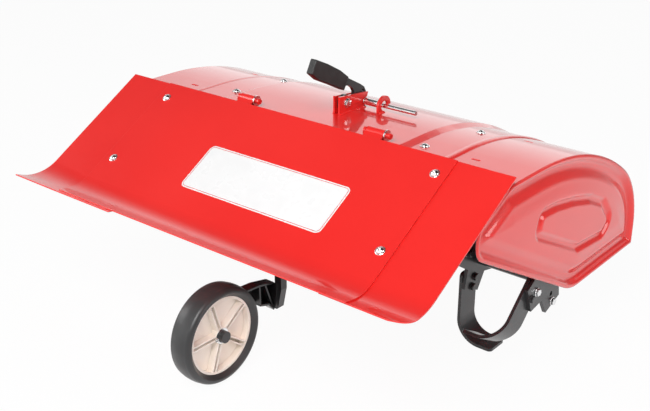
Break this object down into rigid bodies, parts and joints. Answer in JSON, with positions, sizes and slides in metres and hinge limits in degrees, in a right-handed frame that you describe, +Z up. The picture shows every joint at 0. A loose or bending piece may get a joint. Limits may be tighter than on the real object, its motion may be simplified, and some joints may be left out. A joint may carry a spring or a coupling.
{
  "type": "rotavator for a two-wheel tractor",
  "caption": "Towed-style rotavator: barrel hood over a tined rotor, hinged rear levelling flap, adjusting lever and a height-set tail wheel.",
  "frame": {"origin": "on the floor, under the middle of the machine", "axes": "+X to the right as the operator behind sees it, +Y forward along the travel, +Z up"},
  "size_m": [1, 1.0059, 0.6079],
  "materials": {
    "red_paint": "gloss",
    "black_paint": "satin",
    "dark_steel": "satin",
    "cast_housing": "satin",
    "zinc_plate": "satin",
    "machined_steel": "satin",
    "tyre_rubber": "matte",
    "rim_plastic": "satin",
    "grip_plastic": "matte"
  },
  "bodies": {
    "frame": {"hood_centre": "red_paint", "hood_left": "red_paint", "hood_right": "red_paint", "end_plate_left": "red_paint", "end_plate_right": "red_paint", "hood_frame": "black_paint", "gear_case": "cast_housing", "drive_neck": "cast_housing", "coupling_flange": "machined_steel", "hinge_washers": "zinc_plate", "hinge_pins": "red_paint", "lever_bracket": "red_paint", "lever_pivot": "zinc_plate", "lock_pin": "zinc_plate", "pin_guide": "red_paint"},
    "rotor": {"rotor_shaft": "dark_steel", "tines_left_1": "dark_steel", "tines_left_2": "dark_steel", "tines_left_3": "dark_steel", "tines_right_1": "dark_steel", "tines_right_2": "dark_steel", "tines_right_3": "dark_steel"},
    "input": {"input_shaft": "machined_steel"},
    "flap": {"flap_centre": "red_paint", "flap_left": "red_paint", "flap_right": "red_paint", "flap_knuckles": "red_paint"},
    "lever": {"lever_bar": "black_paint", "lever_grip": "grip_plastic"},
    "wheel_leg": {"wheel_post": "black_paint", "wheel_arm": "black_paint", "wheel_axle": "dark_steel"},
    "tail_wheel": {"wheel_rim": "rim_plastic", "wheel_tyre": "tyre_rubber"}
  },
  "joints": [
    {"name": "rotor_spin", "type": "hinge", "parent": "frame", "child": "rotor", "pos_m": [0, 0.085, 0.1894], "axis": [1, 0, 0], "continuous": true},
    {"name": "input_spin", "type": "hinge", "parent": "frame", "child": "input", "pos_m": [0, 0.3, 0.2474], "axis": [0, 1, 0], "continuous": true},
    {"name": "flap_hinge", "type": "hinge", "parent": "frame", "child": "flap", "pos_m": [0, -0.123, 0.4885], "axis": [-1, 0, 0], "range_deg": [0, 55]},
    {"name": "lever_swing", "type": "hinge", "parent": "frame", "child": "lever", "pos_m": [0.0233, -0.0286, 0.4956], "axis": [-1, 0, 0], "range_deg": [-20, 20]},
    {"name": "leg_slide", "type": "slide", "parent": "frame", "child": "wheel_leg", "axis": [0, 0, 1], "range_m": [0, 0.095]},
    {"name": "wheel_spin", "type": "hinge", "parent": "wheel_leg", "child": "tail_wheel", "pos_m": [0.001, -0.405, 0.104], "axis": [1, 0, 0], "continuous": true}
  ],
  "couplings": [
    {"joint": "input_spin", "follows": "rotor_spin", "ratio": -5}
  ]
}
